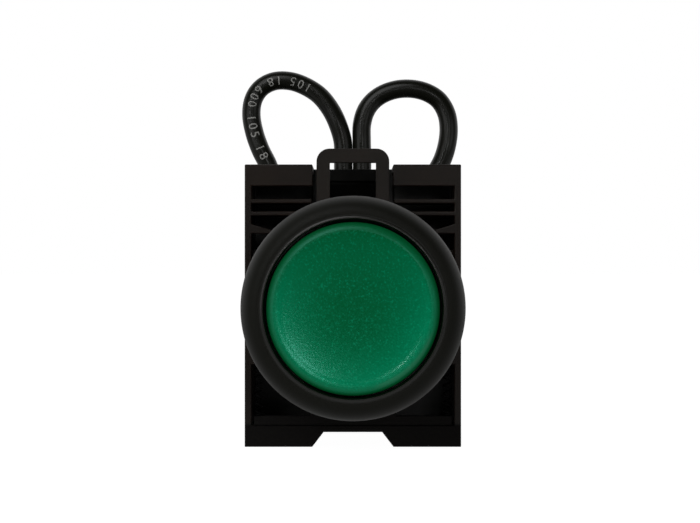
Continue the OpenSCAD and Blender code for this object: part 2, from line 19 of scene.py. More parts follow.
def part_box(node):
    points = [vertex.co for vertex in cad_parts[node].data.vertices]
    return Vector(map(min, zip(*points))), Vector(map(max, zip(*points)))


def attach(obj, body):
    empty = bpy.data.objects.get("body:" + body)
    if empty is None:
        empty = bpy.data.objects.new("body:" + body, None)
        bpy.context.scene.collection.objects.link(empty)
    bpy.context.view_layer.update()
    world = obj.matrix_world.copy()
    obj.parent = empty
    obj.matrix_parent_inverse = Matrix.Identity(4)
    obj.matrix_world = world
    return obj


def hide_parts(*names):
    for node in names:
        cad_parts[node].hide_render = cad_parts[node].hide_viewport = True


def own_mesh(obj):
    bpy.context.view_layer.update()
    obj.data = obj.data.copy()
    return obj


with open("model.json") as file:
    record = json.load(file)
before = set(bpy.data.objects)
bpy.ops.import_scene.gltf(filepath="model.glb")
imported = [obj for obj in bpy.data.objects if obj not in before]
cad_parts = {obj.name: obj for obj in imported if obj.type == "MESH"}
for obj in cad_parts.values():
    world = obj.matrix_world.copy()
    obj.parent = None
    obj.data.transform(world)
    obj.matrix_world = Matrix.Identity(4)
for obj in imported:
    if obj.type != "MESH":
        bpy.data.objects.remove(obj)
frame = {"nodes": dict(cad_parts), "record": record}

LOG = logging.getLogger("push_button")
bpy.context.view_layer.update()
MM = 0.001
INK = 0.01 * MM
Colour = tuple[float, float, float]
Point = tuple[float, float, float]
STRAIGHT = (0.0, 0.0, 0.0)
WHITE = (1.0, 1.0, 1.0, 1.0)


class Body(Enum):
    """The bodies that the pieces made here ride on."""

    ROOT = "root"
    BUTTON = "button"
    NO_PIN = "no_pin"
    NC_PIN = "nc_pin"
    LATCH = "latch"


class Module(Enum):
    """The three modules, by the first part of their nodes' names."""

    NO = "no"
    LAMP = "lamp"
    NC = "nc"


# Node trees and shader maths


class Graph:
    """A node tree of any kind, with one way to make its nodes."""

    def __init__(self, tree: bpy.types.NodeTree) -> None:
        """Keeps the tree."""
        self.tree = tree

    def feed(self, socket: bpy.types.NodeSocket, value: object) -> None:
        """Links a signal or another socket to a socket, or sets a plain value on it."""
        source = value.socket if isinstance(value, Signal) else value
        if isinstance(source, bpy.types.NodeSocket):
            self.tree.links.new(source, socket)
        else:
            socket.default_value = source

    def node(
        self, kind: str, inputs: dict[str | int, object] | None = None, **settings: object
    ) -> bpy.types.Node:
        """Makes a node of any kind.

        Args:
            kind: The node's type name.
            inputs: What goes into its sockets, by name or number: signals, sockets or values.
            **settings: Attributes, which are set before the sockets.

        Returns:
            The new node.
        """
        made = self.tree.nodes.new(kind)
        for key, value in settings.items():
            setattr(made, key, value)
        for key, value in (inputs or {}).items():
            self.feed(made.inputs[key], value)
        return made


class Signal:
    """A socket of a shader tree that takes part in sums."""

    def __init__(self, graph: "ShaderGraph", socket: bpy.types.NodeSocket) -> None:
        """Keeps the socket and the graph that it belongs to."""
        self.graph = graph
        self.socket = socket

    def _math(self, operation: str, first: object, second: object = 0.0) -> "Signal":
        """Makes one Math node.

        Args:
            operation: The node's operation.
            first: A signal or a number.
            second: A signal or a number.

        Returns:
            The node's value.
        """
        node = self.graph.node("ShaderNodeMath", {0: first, 1: second}, operation=operation)
        return Signal(self.graph, node.outputs[0])

    def __add__(self, other: object) -> "Signal":
        """Sum."""
        return self._math("ADD", self, other)

    def __radd__(self, other: object) -> "Signal":
        """Sum, with the signal at the right."""
        return self._math("ADD", other, self)

    def __sub__(self, other: object) -> "Signal":
        """Difference."""
        return self._math("SUBTRACT", self, other)

    def __rsub__(self, other: object) -> "Signal":
        """Difference, with the signal at the right."""
        return self._math("SUBTRACT", other, self)

    def __mul__(self, other: object) -> "Signal":
        """Product."""
        return self._math("MULTIPLY", self, other)

    def __rmul__(self, other: object) -> "Signal":
        """Product, with the signal at the right."""
        return self._math("MULTIPLY", other, self)

    def __truediv__(self, other: object) -> "Signal":
        """Quotient."""
        return self._math("DIVIDE", self, other)

    def __rtruediv__(self, other: object) -> "Signal":
        """Quotient, with the signal at the right."""
        return self._math("DIVIDE", other, self)

    def __pow__(self, other: object) -> "Signal":
        """Power."""
        return self._math("POWER", self, other)

    def __rpow__(self, other: object) -> "Signal":
        """Power, with the signal as the exponent."""
        return self._math("POWER", other, self)

    def clamped(self) -> "Signal":
        """The signal held between 0 and 1."""
        return self._math("MINIMUM", self._math("MAXIMUM", self, 0.0), 1.0)


class ShaderGraph(Graph):
    """The node tree of a material or of the room, with short ways to fill it."""

    def __init__(self, owner: bpy.types.Material | bpy.types.World) -> None:
        """Empties the owner's tree.

        Args:
            owner: The material or world whose look the tree describes.
        """
        owner.use_nodes = True
        owner.node_tree.nodes.clear()
        super().__init__(owner.node_tree)
        self.owner = owner

    def noise(self, size: float, detail: float = 2.0) -> Signal:
        """Noise in object coordinates.

        Args:
            size: Size of one blot, in metres.
            detail: Octaves of the noise.

        Returns:
            A value around 0.5.
        """
        place = self.node("ShaderNodeTexCoord").outputs["Object"]
        made = self.node(
            "ShaderNodeTexNoise", {"Vector": place, "Scale": 1 / size, "Detail": detail}
        )
        return Signal(self, made.outputs["Fac"])

    def place(self, output: str = "Object") -> tuple[Signal, Signal, Signal]:
        """The three parts of a coordinate or of a direction.

        Args:
            output: Object for a place on the piece, in metres, or Generated for a direction in
                the room.

        Returns:
            The parts along X, Y and Z.
        """
        coordinates = self.node("ShaderNodeTexCoord")
        parts = self.node("ShaderNodeSeparateXYZ", {0: coordinates.outputs[output]})
        x, y, z = (Signal(self, socket) for socket in parts.outputs)
        return x, y, z

    def mixed(self, share: object, first: Colour, second: Colour) -> Signal:
        """Blends two colours.

        Args:
            share: How much of the second colour shows, a signal.
            first: The colour at 0.
            second: The colour at 1.

        Returns:
            The blended colour.
        """
        colours = {6: (*first, 1.0), 7: (*second, 1.0)}
        node = self.node("ShaderNodeMix", {"Factor": share, **colours}, data_type="RGBA")
        return Signal(self, node.outputs[2])

    def either(self, share: object, first: object, second: object) -> bpy.types.NodeSocket:
        """Mixes two shaders.

        Args:
            share: How much of the second shader shows.
            first: The output of the shader at 0.
            second: The output of the shader at 1.

        Returns:
            The mixed shader's output.
        """
        return self.node("ShaderNodeMixShader", {0: share, 1: first, 2: second}).outputs[0]

    def bump(self, height: Signal, depth: float) -> Signal:
        """Turns a height into a normal.

        Args:
            height: The height, from 0 to 1.
            depth: What a height of 1 stands for, in metres.

        Returns:
            The bent normal.
        """
        inputs = {"Distance": depth, "Strength": 1.0, "Height": height}
        return Signal(self, self.node("ShaderNodeBump", inputs).outputs["Normal"])

    def surface(self, **inputs: object) -> bpy.types.Material:
        """Closes the graph with a principled shader.

        Args:
            **inputs: Its inputs, with spaces as underscores.

        Returns:
            The finished material.
        """
        named = {key.replace("_", " "): value for key, value in inputs.items()}
        shader = self.node("ShaderNodeBsdfPrincipled", named)
        self.node("ShaderNodeOutputMaterial", {"Surface": shader.outputs[0]})
        return self.owner


# Finishes


FADE = 0.3 * MM


@dataclass(frozen=True)
class Moulded:
    """Moulded plastic or rubber with a fine grain, a little wear in its gloss and, where set, painted
    shade.
    """

    name: str
    colour: Colour
    roughness: float = 0.5
    grain: float = 0.25 * MM
    depth: float = 0.012 * MM
    unevenness: float = 0.12
    specular: float = 0.5
    lit: tuple[float, float] | None = None
    polished_r: float = 0.0
    shine: float = 0.6
    spread: float = 0.2

    def material(self) -> bpy.types.Material:
        """Builds the material.

        Shade is painted into the colour if lit is set: beyond a half width and below a height, where
        light doesn't reach, the colour darkens and the surface gets rougher. Inside polished_r an
        edge is worn to a shine.

        Returns:
            The material.
        """
        graph = ShaderGraph(bpy.data.materials.new(self.name))
        x, _, z = graph.place()
        grain = graph.noise(self.grain, 3.0)
        share = graph.noise(6 * MM, 2.0)
        rough = self.roughness + (grain - 0.5) * self.unevenness
        dark = tuple((1 - self.spread) * part for part in self.colour)
        light = tuple((1 + self.spread) * part for part in self.colour)
        # Painted shade: outside the lit width and below the lit height the colour drops to a tenth of
        # its own
        if self.lit:
            half, low = self.lit
            shade = (((x * x) ** 0.5 - half) / FADE).clamped() + ((low - z) / FADE).clamped()
            share = (share - shade * 2).clamped()
            dark = tuple(0.1 * part for part in self.colour)
            rough = rough + shade * 0.5
        coat = 0.0
        if self.polished_r:
            radius = (x * x + z * z) ** 0.5
            coat = ((self.polished_r - radius) / (FADE / 2)).clamped() * self.shine
        return graph.surface(
            Base_Color=graph.mixed(share, dark, light),
            Roughness=rough.clamped(),
            Specular_IOR_Level=self.specular,
            Coat_Weight=coat,
            Coat_Roughness=0.3,
            Normal=graph.bump(grain, self.depth),
        )


@dataclass(frozen=True)
class Metal:
    """Plated, drawn or stamped metal."""

    name: str
    colour: Colour
    roughness: float = 0.3
    grain: float = 0.4 * MM
    depth: float = 0.004 * MM

    def material(self) -> bpy.types.Material:
        """Builds the material.

        Returns:
            The material.
        """
        graph = ShaderGraph(bpy.data.materials.new(self.name))
        grain = graph.noise(self.grain, 3.0)
        tarnish = graph.noise(2.5 * MM, 3.0)
        dull = tuple(0.72 * part for part in self.colour)
        return graph.surface(
            Base_Color=graph.mixed(tarnish, self.colour, dull),
            Metallic=1.0,
            Roughness=(self.roughness + (tarnish - 0.5) * 0.2).clamped(),
            Normal=graph.bump(grain, self.depth),
        )


@dataclass(frozen=True)
class GreenLens:
    """Frosted green cap that glitters finely, with light painted in: paler and glowing towards its
    rim.
    """

    name: str = "green_lens"
    deep: Colour = (0.0, 0.055, 0.0135)
    pale: Colour = (0.0, 0.19, 0.088)
    milk: float = 0.13
    sheen: Colour = (0.3, 1.0, 0.85)
    speck: float = 0.26 * MM
    rim: float = 9.8 * MM
    roll: float = 1.3 * MM
    glow: float = 0.45
    polish_half: float = 1.2 * MM
    speckle: float = 0.3
    flake_start: float = 0.58
    flake_gain: float = 7.0
    flake_share: float = 0.3
    painted_light_share: float = 0.51
    gloss: float = 0.2
    depth: float = 0.015 * MM

    def material(self) -> bpy.types.Material:
        """Builds the material.

        Light is painted into the plastic: it is paler towards the rim at the sides and most at the
        bottom, and its colour glows a little. It is deep where it rolls over. Flakes glitter in it,
        and one corner of its crest is worn to a shine.

        Returns:
            The material.
        """
        graph = ShaderGraph(bpy.data.materials.new(self.name))
        x, _, z = graph.place()
        radius = (x * x + z * z) ** 0.5
        # Painted light: paler towards the rim, most at the bottom and least at the top
        outwards = (radius / self.rim).clamped() ** 2.2
        below = (0.8 - z / (1.25 * self.rim)).clamped()
        rolled = ((radius - self.rim) / self.roll).clamped()
        speck = graph.noise(self.speck, 2.0)
        flakes = ((speck - self.flake_start) * self.flake_gain).clamped() * self.flake_share
        share = self.milk + (speck - 0.5) * self.speckle + flakes
        share = ((share + outwards * below * self.painted_light_share) * (1 - rolled)).clamped()
        tint = graph.mixed(share, self.deep, self.pale)
        crest = radius - self.rim
        corner = (x / self.roll - 2).clamped() * (-2 - z / self.roll).clamped()
        polish = (1 - (crest * crest) ** 0.5 / self.polish_half).clamped() * corner
        return graph.surface(
            Base_Color=tint,
            Coat_Weight=polish,
            Coat_Roughness=0.1,
            Roughness=(self.gloss + rolled * 0.35 + (speck - 0.5) * 0.2).clamped(),
            Specular_IOR_Level=0.4,
            Specular_Tint=(*self.sheen, 1.0),
            # Painted glow: the cap's tint is also emitted as light
            Emission_Color=tint,
            Emission_Strength=self.glow,
            Normal=graph.bump(speck, self.depth),
        )


@dataclass(frozen=True)
class Clear:
    """Clear epoxy of the lamp."""

    name: str = "clear_epoxy"
    colour: Colour = (0.93, 0.95, 0.9)

    def material(self) -> bpy.types.Material:
        """Builds the material.

        Returns:
            The material.
        """
        graph = ShaderGraph(bpy.data.materials.new(self.name))
        return graph.surface(
            Base_Color=(*self.colour, 1.0),
            Roughness=0.08,
            IOR=1.5,
            Transmission_Weight=0.9,
        )


FINISHES: dict[str, Moulded | Metal | GreenLens | Clear] = {
    "head_black": Moulded(
        "bezel_black", (0.0052, 0.0054, 0.0036), 0.52, 0.22 * MM, 0.01 * MM, specular=0.12,
        polished_r=12.3 * MM,
    ),
    "rubber_black": Moulded("gasket_rubber", (0.012, 0.012, 0.012), 0.7),
    "nut_black": Moulded("nut_black", (0.014, 0.014, 0.014), 0.42, specular=0.3),
    "lens_green": GreenLens(),
    "diffuser_white": Moulded("diffuser_white", (0.8, 0.82, 0.78), 0.4),
    "carrier_grey": Moulded("carrier_grey", (0.05, 0.05, 0.05), 0.45),
    "spring_steel": Metal("spring_steel", (0.6, 0.6, 0.58), 0.25),
    "spring_black": Metal("black_oxide", (0.006, 0.006, 0.006), 0.6),
    # The holder carries painted shade below -16.3 mm, on its lowest band under the bezel
    "holder_black": Moulded(
        "holder_black", (0.0118, 0.0063, 0.003), 0.42, 0.3 * MM, 0.008 * MM, specular=0.2,
        lit=(20 * MM, -16.3 * MM),
    ),
    "module_black": Moulded(
        "module_black", (0.0068, 0.0068, 0.006), 0.4, 0.3 * MM, 0.008 * MM, specular=0.25
    ),
    "plunger_ivory": Moulded("plunger_ivory", (0.6, 0.56, 0.46), 0.4),
    "contact_brass": Metal("contact_brass", (0.7, 0.5, 0.22), 0.3),
    "contact_silver": Metal("contact_silver", (0.8, 0.8, 0.8), 0.25),
    "screw_zinc": Metal("screw_zinc", (0.62, 0.64, 0.66), 0.3),
    "clamp_zinc": Metal("clamp_zinc", (0.7, 0.66, 0.5), 0.35),
    "led_clear": Clear(),
    "board_green": Moulded("board_green", (0.01, 0.11, 0.035), 0.3),
    "component_black": Moulded("component_black", (0.015, 0.015, 0.016), 0.4),
    "component_beige": Moulded("component_beige", (0.5, 0.38, 0.2), 0.35),
    "component_red": Moulded("component_red", (0.28, 0.05, 0.015), 0.3),
    "wire_black": Moulded(
        "wire_black", (0.006, 0.0063, 0.0041), 0.27, 2.5 * MM, 0.003 * MM, 0.03, 0.22
    ),
    "copper": Metal("bare_copper", (0.78, 0.4, 0.24), 0.3),
    # The latch carries painted shade below -13.2 mm, which darkens its foot in the lower window
    "latch_black": Moulded(
        "latch_black", (0.0164, 0.0116, 0.008), 0.42, 0.3 * MM, 0.008 * MM, specular=0.2,
        lit=(20 * MM, -13.2 * MM),
    ),
    # A shaded copy of module_black for the lamp cover: rougher and less glossy, with painted shade
    # except in its lit middle above 17.3 mm
    "cover_black": Moulded(
        "cover_black", (0.0068, 0.0068, 0.006), 0.6, 0.3 * MM, 0.008 * MM, specular=0.06,
        lit=(3.6 * MM, 17.3 * MM),
    ),
    "print_white": Moulded("print_white", (0.25, 0.25, 0.235), 0.6),
}


class Wardrobe:
    """Makes each finish once and puts it on pieces."""

    def __init__(self) -> None:
        """Starts with no material made."""
        self.made: dict[str, bpy.types.Material] = {}
        record = frame["record"]
        self.slots = {part["node"]: part["material_slot"] for part in record["subparts"]}

    def get(self, slot: str) -> bpy.types.Material:
        """The material of a slot, made when first asked for."""
        if slot not in self.made:
            self.made[slot] = FINISHES[slot].material()
        return self.made[slot]

    def dress(self, piece: bpy.types.Object, slot: str) -> None:
        """Gives a piece one material."""
        piece.data.materials.clear()
        piece.data.materials.append(self.get(slot))

    def dress_nodes(self) -> None:
        """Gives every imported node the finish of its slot."""
        for node, piece in frame["nodes"].items():
            self.dress(piece, self.slots[node])


# Shared tools


@dataclass
class Workshop:
    """Turns meshes into pieces that ride on a body and stand for nodes."""

    wardrobe: Wardrobe
    smooth_below: float = 32.0
    bevel_above: float = 35.0
    pieces: list[str] = field(default_factory=list)

    def add(
        self,
        mesh: bpy.types.Mesh,
        name: str,
        body: Body,
        slot: str,
        nodes: Iterable[str] = (),
        finish: str = "",
    ) -> bpy.types.Object:
        """Adds a mesh to the scene as a finished piece.

        Args:
            mesh: The mesh, with its place in it.
            name: The piece's name.
            body: The body that it rides on.
            slot: Its material slot.
            nodes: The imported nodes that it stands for.
            finish: Its finish, where that isn't the slot's own.

        Returns:
            The piece.
        """
        piece = linked(name, mesh)
        self.wardrobe.dress(piece, finish or slot)
        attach(piece, body.value)
        for node in nodes:
            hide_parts(node)
        self.pieces.append(name)
        LOG.info("%s rides on %s", name, body.value)
        return piece

    def bevelled(
        self, node: str, body: Body, width: float, finish: str = "", recess: float = 0.0
    ) -> bpy.types.Object:
        """Rebuilds a node with soft edges.

        Args:
            node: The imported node.
            body: The body that it is in.
            width: Width of the bevel, in metres.
            finish: Its finish, where that isn't its slot's own.
            recess: Depth of the recess in its side, with the side's sign, or 0 for none.

        Returns:
            The piece that stands for the node.
        """
        mesh = merged_copy(frame["nodes"][node].data)
        if recess:
            recess_side(mesh, recess)
        smooth_by_angle(mesh, self.smooth_below)
        draft = linked(node + "_draft", mesh)
        bevel = draft.modifiers.new("edges", "BEVEL")
        bevel.width = width
        bevel.segments = 2
        bevel.limit_method = "ANGLE"
        bevel.angle_limit = math.radians(self.bevel_above)
        bevel.harden_normals = True
        weigh = draft.modifiers.new("normals", "WEIGHTED_NORMAL")
        weigh.keep_sharp = True
        finished = baked(draft)
        slot = self.wardrobe.slots[node]
        return self.add(finished, "fine_" + node, body, slot, [node], finish)


def linked(name: str, data: bpy.types.ID) -> bpy.types.Object:
    """Makes an object from its data and links it to the scene.

    Args:
        name: The object's name.
        data: Its mesh, curve, lamp or camera.

    Returns:
        The object.
    """
    made = bpy.data.objects.new(name, data)
    bpy.context.scene.collection.objects.link(made)
    return made


@contextmanager
def edited(mesh: bpy.types.Mesh) -> Iterator[bmesh.types.BMesh]:
    """Opens a mesh, and writes what was changed back to it.

    Args:
        mesh: The mesh to change.

    Returns:
        Its editable shape, for the length of a with block.
    """
    shape = bmesh.new()
    shape.from_mesh(mesh)
    yield shape
    shape.to_mesh(mesh)
    shape.free()


def half_width(node: str) -> float:
    """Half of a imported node's width along X, which is a round node's radius."""
    low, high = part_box(node)
    return (high.x - low.x) / 2


def merged_copy(mesh: bpy.types.Mesh) -> bpy.types.Mesh:
    """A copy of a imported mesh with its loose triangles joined.

    Args:
        mesh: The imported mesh.

    Returns:
        The joined copy, with flat areas as single faces.
    """
    joined = bmesh.new()
    joined.from_mesh(mesh)
    bmesh.ops.remove_doubles(joined, verts=joined.verts, dist=0.5e-6)
    bmesh.ops.dissolve_limit(
        joined, angle_limit=math.radians(0.5), verts=joined.verts, edges=joined.edges
    )
    copy = bpy.data.meshes.new(mesh.name + "_joined")
    joined.to_mesh(copy)
    joined.free()
    return copy


def recess_side(mesh: bpy.types.Mesh, depth: float, margin: float = 2.2 * MM) -> None:
    """Sinks a field into the outer side of a housing, inside a border.

    Args:
        mesh: The housing, changed in place.
        depth: How deep the field lies, with the sign of the side's direction along X.
        margin: Width of the border.
    """
    side = math.copysign(1.0, depth)
    sunk = abs(depth)
    with edited(mesh) as shape:
        shape.normal_update()
        flat = [face for face in shape.faces if face.normal.x * side > 0.999]
        reach = max(face.calc_center_median().x * side for face in flat)
        outer = [face for face in flat if face.calc_center_median().x * side > reach - 0.01 * MM]
        middle = max(outer, key=lambda face: face.calc_area())
        bmesh.ops.inset_region(shape, faces=[middle], thickness=margin)
        bmesh.ops.inset_region(shape, faces=[middle], thickness=sunk, depth=-sunk)


def baked(draft: bpy.types.Object) -> bpy.types.Mesh:
    """Takes the evaluated mesh of a draft and removes the draft.

    Args:
        draft: An object with live modifiers.

    Returns:
        Its mesh with the modifiers in it.
    """
    bpy.context.view_layer.update()
    seen = draft.evaluated_get(bpy.context.evaluated_depsgraph_get())
    mesh = bpy.data.meshes.new_from_object(seen)
    bpy.data.objects.remove(draft)
    return mesh


def digits_mesh(text: str, size: float, **settings: object) -> bpy.types.Mesh:
    """Sets plain digits as a mesh.

    Args:
        text: The digits.
        size: Their size, in metres.
        **settings: Further attributes of the text.

    Returns:
        The digits, face up at the origin.
    """
    letters = bpy.data.curves.new("digits", "FONT")
    letters.body = text
    letters.size = size
    letters.align_y = "CENTER"
    for key, value in settings.items():
        setattr(letters, key, value)
    return baked(linked("digits", letters))


def smooth_by_angle(mesh: bpy.types.Mesh, degrees: float) -> None:
    """Shades a mesh smooth, except across edges sharper than an angle."""
    mesh.shade_smooth()
    mesh.set_sharp_from_angle(angle=math.radians(degrees))


def closed_mesh(
    name: str, points: Sequence[Vector], faces: Sequence[Sequence[int]], degrees: float = 30
) -> bpy.types.Mesh:
    """Makes a mesh whose doubles are merged and whose faces point out.

    Args:
        name: The mesh's name.
        points: Its corners.
        faces: Its faces.
        degrees: Edges sharper than this stay sharp.

    Returns:
        The mesh.
    """
    mesh = bpy.data.meshes.new(name)
    mesh.from_pydata([tuple(point) for point in points], [], [tuple(face) for face in faces])
    with edited(mesh) as shape:
        bmesh.ops.remove_doubles(shape, verts=shape.verts, dist=1e-6)
        bmesh.ops.recalc_face_normals(shape, faces=shape.faces)
    smooth_by_angle(mesh, degrees)
    return mesh


def lathe(
    name: str,
    outline: Sequence[tuple[float, float]],
    segments: int = 160,
    shift: Callable[[float, float, float], float] | None = None,
) -> bpy.types.Mesh:
    """Turns a closed outline round the button's axis.

    Args:
        name: The mesh's name.
        outline: Its corners as radius and place along Y.
        segments: Steps round the axis.
        shift: Optional change of the radius, from radius, y and angle.

    Returns:
        The turned mesh.
    """
    points: list[Vector] = []
    count = len(outline)
    for step in range(segments):
        angle = math.tau * step / segments
        for radius, y in outline:
            reach = radius if shift is None else shift(radius, y, angle)
            points.append(Vector((reach * math.cos(angle), y, reach * math.sin(angle))))
    faces = [
        (
            step * count + k,
            step * count + (k + 1) % count,
            (step + 1) % segments * count + (k + 1) % count,
            (step + 1) % segments * count + k,
        )
        for step in range(segments)
        for k in range(count)
    ]
    return closed_mesh(name, points, faces)


def arc(
    centre: tuple[float, float], half: tuple[float, float], start: float, end: float, steps: int
) -> list[tuple[float, float]]:
    """Points on a stretch of an ellipse, as radius and place along Y.

    Args:
        centre: The ellipse's centre.
        half: Its half axes.
        start: First angle, in degrees. 0 points outwards and 90 forwards.
        end: Last angle, in degrees.
        steps: How many steps to take.

    Returns:
        The points, first and last ones included.
    """
    angles = [math.radians(start + (end - start) * k / steps) for k in range(steps + 1)]
    return [
        (centre[0] + half[0] * math.cos(a), centre[1] - half[1] * math.sin(a)) for a in angles
    ]


class GeometryGraph(Graph):
    """A Geometry Nodes tree with named inputs, run once on an empty mesh."""

    def __init__(self, name: str) -> None:
        """Makes a tree with one geometry output.

        Args:
            name: The tree's name.
        """
        super().__init__(bpy.data.node_groups.new(name, "GeometryNodeTree"))
        self.tree.interface.new_socket(
            "Geometry", in_out="OUTPUT", socket_type="NodeSocketGeometry"
        )
        self.source = self.tree.nodes.new("NodeGroupInput")
        self.values: dict[str, object] = {}

    def size(self, name: str, value: float) -> bpy.types.NodeSocket:
        """Adds a named number to the tree's inputs."""
        return self._input(name, value, "NodeSocketFloat")

    def vector(self, name: str, value: Point) -> bpy.types.NodeSocket:
        """Adds a named vector to the tree's inputs."""
        return self._input(name, value, "NodeSocketVector")

    def _input(self, name: str, value: object, kind: str) -> bpy.types.NodeSocket:
        """Adds an input to the tree.

        Args:
            name: The input's name.
            value: What it is set to.
            kind: Type of its socket.

        Returns:
            The socket inside the tree.
        """
        self.tree.interface.new_socket(name, in_out="INPUT", socket_type=kind)
        self.values[name] = value
        return self.source.outputs[name]

    def joined(self, parts: Iterable[bpy.types.NodeSocket]) -> bpy.types.NodeSocket:
        """Joins geometries into one.

        Args:
            parts: The geometries, in order.

        Returns:
            The joined geometry.
        """
        join = self.node("GeometryNodeJoinGeometry")
        for part in parts:
            self.tree.links.new(part, join.inputs[0])
        return join.outputs[0]

    def copies(
        self, shape: bpy.types.NodeSocket, places: Iterable[Sequence[float]], turn: Point = STRAIGHT
    ) -> bpy.types.NodeSocket:
        """Puts a copy of a shape at each place.

        Args:
            shape: The geometry to copy.
            places: Where the copies go.
            turn: Rotation of every copy about X, Y and Z, in radians.

        Returns:
            The copies as one geometry.
        """
        spots = [self.vector(f"Place {k + 1}", tuple(place)) for k, place in enumerate(places)]
        return self.joined(
            self.node(
                "GeometryNodeTransform", {"Geometry": shape, "Translation": spot, "Rotation": turn}
            ).outputs[0]
            for spot in spots
        )

    def finish(
        self, geometry: bpy.types.NodeSocket, material: bpy.types.Material
    ) -> bpy.types.Mesh:
        """Ends the tree, runs it and returns its mesh.

        Args:
            geometry: What the tree makes.
            material: The material set on it.

        Returns:
            A plain mesh.
        """
        real = self.node("GeometryNodeRealizeInstances", {"Geometry": geometry})
        dressed = self.node(
            "GeometryNodeSetMaterial", {"Geometry": real.outputs[0], "Material": material}
        )
        self.node("NodeGroupOutput", {0: dressed.outputs[0]})
        draft = linked(self.tree.name, bpy.data.meshes.new(self.tree.name))
        modifier = draft.modifiers.new("build", "NODES")
        modifier.node_group = self.tree
        for item in self.tree.interface.items_tree:
            if item.in_out == "INPUT":
                modifier[item.identifier] = self.values[item.name]
        return baked(draft)


# Springs and screws


@dataclass
class CoilSpring:
    """A compression spring with closed ends, along Y or along Z.

    The ends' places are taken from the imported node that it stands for.
    """

    node: str
    body: Body
    coil_r: float
    wire_r: float
    turns: float
    joint: str = ""
    keep: float = 1.0
    anchor_high: bool = True
    upright: bool = False
    slot: str = "spring_steel"

    def build(self, workshop: Workshop) -> None:
        """Builds the spring, and gives it a mesh of its own when it has a joint.

        Args:
            workshop: Where the piece is added.
        """
        low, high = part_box(self.node)
        centres = self.centres(low, high)
        axis = 2 if self.upright else 1
        mesh = self.mesh(centres, low[axis], high[axis], workshop.wardrobe.get(self.slot))
        piece = workshop.add(mesh, "fine_" + self.node, self.body, self.slot, [self.node])
        if self.joint:
            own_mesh(piece)

    def centres(self, low: Vector, high: Vector) -> list[Vector]:
        """Where the springs' axes run: two for the pair beside the latch, else one.

        Args:
            low: Lower corner of the node's box.
            high: Upper corner of the node's box.

        Returns:
            A point on each axis.
        """
        middle = (low + high) / 2
        if not self.upright:
            return [middle]
        reach = (high.x - low.x) / 2 - self.coil_r - self.wire_r
        return [Vector((side * reach, middle.y, middle.z)) for side in (-1, 1)]

    def mesh(
        self, centres: Sequence[Vector], start: float, end: float, steel: bpy.types.Material
    ) -> bpy.types.Mesh:
        """Winds the wire with Geometry Nodes.

        Args:
            centres: A point on each spring's axis.
            start: Where the spring begins along its axis.
            end: Where it ends.
            steel: The wire's material.

        Returns:
            One mesh with every spring of the node.
        """
        graph = GeometryGraph("coil_" + self.node)
        height = end - start - 2 * self.wire_r
        rotations = graph.size("Turns", self.turns)
        radius = graph.size("Coil radius", self.coil_r)
        length = graph.size("Free length", height)
        wire = graph.size("Wire radius", self.wire_r)
        spiral = graph.node(
            "GeometryNodeCurveSpiral",
            {
                "Resolution": 40,
                "Rotations": rotations,
                "Start Radius": radius,
                "End Radius": radius,
                "Height": length,
            },
        )
        ring = graph.node("GeometryNodeCurvePrimitiveCircle", {"Resolution": 40, "Radius": radius})
        top = graph.node("ShaderNodeCombineXYZ", {"Z": length})
        lifted = graph.node(
            "GeometryNodeTransform", {"Geometry": ring.outputs[0], "Translation": top.outputs[0]}
        )
        joined = graph.joined((spiral.outputs[0], ring.outputs[0], lifted.outputs[0]))
        section = graph.node("GeometryNodeCurvePrimitiveCircle", {"Resolution": 10, "Radius": wire})
        wound = graph.node(
            "GeometryNodeCurveToMesh",
            {"Curve": joined, "Profile Curve": section.outputs[0], "Fill Caps": True},
        )
        soft = graph.node("GeometryNodeSetShadeSmooth", {"Geometry": wound.outputs[0]})
        places = [centre.copy() for centre in centres]
        for place in places:
            place[2 if self.upright else 1] = start + self.wire_r
        turn = STRAIGHT if self.upright else (-math.pi / 2, 0.0, 0.0)
        return graph.finish(graph.copies(soft.outputs[0], places, turn), steel)


